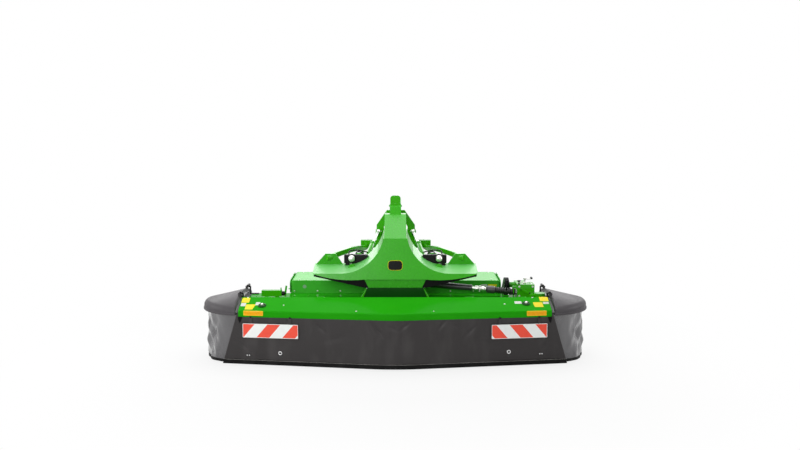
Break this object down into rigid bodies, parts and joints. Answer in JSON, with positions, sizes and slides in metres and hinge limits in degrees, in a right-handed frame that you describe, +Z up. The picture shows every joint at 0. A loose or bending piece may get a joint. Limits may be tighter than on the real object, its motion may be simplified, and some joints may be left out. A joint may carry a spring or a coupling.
{
  "type": "front-mounted disc mower conditioner",
  "caption": "Front-mounted mower conditioner: discs under a folding hood with a skirt, round folding side guards, tined rotor, carrying arch and three-point hitch frame.",
  "frame": {"origin": "on the ground, under the middle of the machine's bounding box", "axes": "+X across the machine, with the side gearbox on the +X side; +Y rearwards, towards the tractor; +Z up"},
  "size_m": [4.01, 2, 1.65],
  "materials": {
    "machine_green": "gloss paint",
    "hood_green": "gloss paint",
    "guard_plastic": "moulded, lightly textured",
    "curtain_cloth": "coated cloth",
    "warning_plate": "red and white reflective stripes",
    "reflector": "moulded reflector",
    "black_paint": "satin paint",
    "disc_steel": "worn steel",
    "rotor_steel": "steel",
    "zinc": "zinc plated",
    "black_plastic": "moulded",
    "bellows_rubber": "ribbed"
  },
  "bodies": {
    "frame": {"accumulators": "zinc", "arch": "machine_green", "badge_block": "machine_green", "centre_gearbox": "black_paint", "conditioner_drive_case": "black_paint", "conditioner_housing": "machine_green", "crank": "zinc", "cutterbar": "disc_steel", "deck": "machine_green", "drive_bellows": "bellows_rubber", "drive_guard": "black_plastic", "drive_tube": "rotor_steel", "face_badge": "black_plastic", "guard_hinges": "machine_green", "headstock": "machine_green", "hood_hinges": "machine_green", "left_conditioner_wall": "machine_green", "left_end_support": "machine_green", "left_lower_arm": "machine_green", "left_lower_hitch_pin": "machine_green", "main_beam": "machine_green", "pedestal": "machine_green", "right_conditioner_wall": "machine_green", "right_end_support": "machine_green", "right_lower_arm": "machine_green", "right_lower_hitch_pin": "machine_green", "side_box": "machine_green", "side_gearbox": "machine_green", "skid_shoes": "disc_steel", "stand_forks": "black_paint", "stop_knob": "black_plastic", "swath_hinges": "machine_green", "wing_webs": "black_paint"},
    "front_hood_body": {"front_hood": "hood_green", "front_curtain": "curtain_cloth", "left_warning_plate": "warning_plate", "right_warning_plate": "warning_plate", "reflectors": "reflector"},
    "left_guard_body": {"left_side_guard": "guard_plastic", "left_side_curtain": "curtain_cloth"},
    "right_guard_body": {"right_side_guard": "guard_plastic", "right_side_curtain": "curtain_cloth"},
    "rotor_body": {"tine_rotor": "rotor_steel"},
    "input_body": {"input_shaft": "rotor_steel"},
    "left_swath_body": {"left_swath_plate": "black_paint"},
    "right_swath_body": {"right_swath_plate": "black_paint"},
    "left_stand_body": {"left_parking_stand": "black_paint"},
    "right_stand_body": {"right_parking_stand": "black_paint"},
    "disc_1_body": {"disc_1": "disc_steel"},
    "disc_2_body": {"disc_2": "disc_steel"},
    "disc_3_body": {"disc_3": "disc_steel"},
    "disc_4_body": {"disc_4": "disc_steel"},
    "disc_5_body": {"disc_5": "disc_steel"},
    "disc_6_body": {"disc_6": "disc_steel"},
    "disc_7_body": {"disc_7": "disc_steel"},
    "disc_8_body": {"disc_8": "disc_steel"}
  },
  "joints": [
    {"name": "front_hood", "type": "hinge", "parent": "frame", "child": "front_hood_body", "pos_m": [0, -0.542, 0.641], "axis": [-1, 0, 0], "range_deg": [0, 75]},
    {"name": "left_side_guard", "type": "hinge", "parent": "frame", "child": "left_guard_body", "pos_m": [-1.59, -0.308, 0.692], "axis": [0, 1, 0], "range_deg": [0, 90]},
    {"name": "right_side_guard", "type": "hinge", "parent": "frame", "child": "right_guard_body", "pos_m": [1.59, -0.308, 0.692], "axis": [0, -1, 0], "range_deg": [0, 90]},
    {"name": "tine_rotor", "type": "hinge", "parent": "frame", "child": "rotor_body", "pos_m": [0, 0.25, 0.4], "axis": [1, 0, 0], "continuous": true},
    {"name": "input_shaft", "type": "hinge", "parent": "frame", "child": "input_body", "pos_m": [0, 0.13, 0.84], "axis": [0, 1, 0], "continuous": true},
    {"name": "left_swath_plate", "type": "hinge", "parent": "frame", "child": "left_swath_body", "pos_m": [-1.06, 0.64, 0.3], "axis": [0, 0, 1], "range_deg": [-20, 15]},
    {"name": "right_swath_plate", "type": "hinge", "parent": "frame", "child": "right_swath_body", "pos_m": [1.06, 0.64, 0.3], "axis": [0, 0, 1], "range_deg": [-15, 20]},
    {"name": "left_parking_stand", "type": "hinge", "parent": "frame", "child": "left_stand_body", "pos_m": [-0.305, 0.9303, 1.055], "axis": [1, 0, 0], "range_deg": [0, 100]},
    {"name": "right_parking_stand", "type": "hinge", "parent": "frame", "child": "right_stand_body", "pos_m": [0.305, 0.9303, 1.055], "axis": [1, 0, 0], "range_deg": [0, 100]},
    {"name": "disc_1", "type": "hinge", "parent": "frame", "child": "disc_1_body", "pos_m": [-1.505, -0.38, 0.11], "axis": [0, 0, 1], "continuous": true},
    {"name": "disc_2", "type": "hinge", "parent": "frame", "child": "disc_2_body", "pos_m": [-1.075, -0.38, 0.11], "axis": [0, 0, 1], "continuous": true},
    {"name": "disc_3", "type": "hinge", "parent": "frame", "child": "disc_3_body", "pos_m": [-0.645, -0.38, 0.11], "axis": [0, 0, 1], "continuous": true},
    {"name": "disc_4", "type": "hinge", "parent": "frame", "child": "disc_4_body", "pos_m": [-0.215, -0.38, 0.11], "axis": [0, 0, 1], "continuous": true},
    {"name": "disc_5", "type": "hinge", "parent": "frame", "child": "disc_5_body", "pos_m": [0.215, -0.38, 0.11], "axis": [0, 0, 1], "continuous": true},
    {"name": "disc_6", "type": "hinge", "parent": "frame", "child": "disc_6_body", "pos_m": [0.645, -0.38, 0.11], "axis": [0, 0, 1], "continuous": true},
    {"name": "disc_7", "type": "hinge", "parent": "frame", "child": "disc_7_body", "pos_m": [1.075, -0.38, 0.11], "axis": [0, 0, 1], "continuous": true},
    {"name": "disc_8", "type": "hinge", "parent": "frame", "child": "disc_8_body", "pos_m": [1.505, -0.38, 0.11], "axis": [0, 0, 1], "continuous": true}
  ],
  "couplings": [
    {"joint": "disc_2", "follows": "disc_1", "ratio": -1},
    {"joint": "disc_3", "follows": "disc_1", "ratio": 1},
    {"joint": "disc_4", "follows": "disc_1", "ratio": -1},
    {"joint": "disc_5", "follows": "disc_1", "ratio": 1},
    {"joint": "disc_6", "follows": "disc_1", "ratio": -1},
    {"joint": "disc_7", "follows": "disc_1", "ratio": 1},
    {"joint": "disc_8", "follows": "disc_1", "ratio": -1},
    {"joint": "input_shaft", "follows": "disc_1", "ratio": 0.3333}
  ]
}
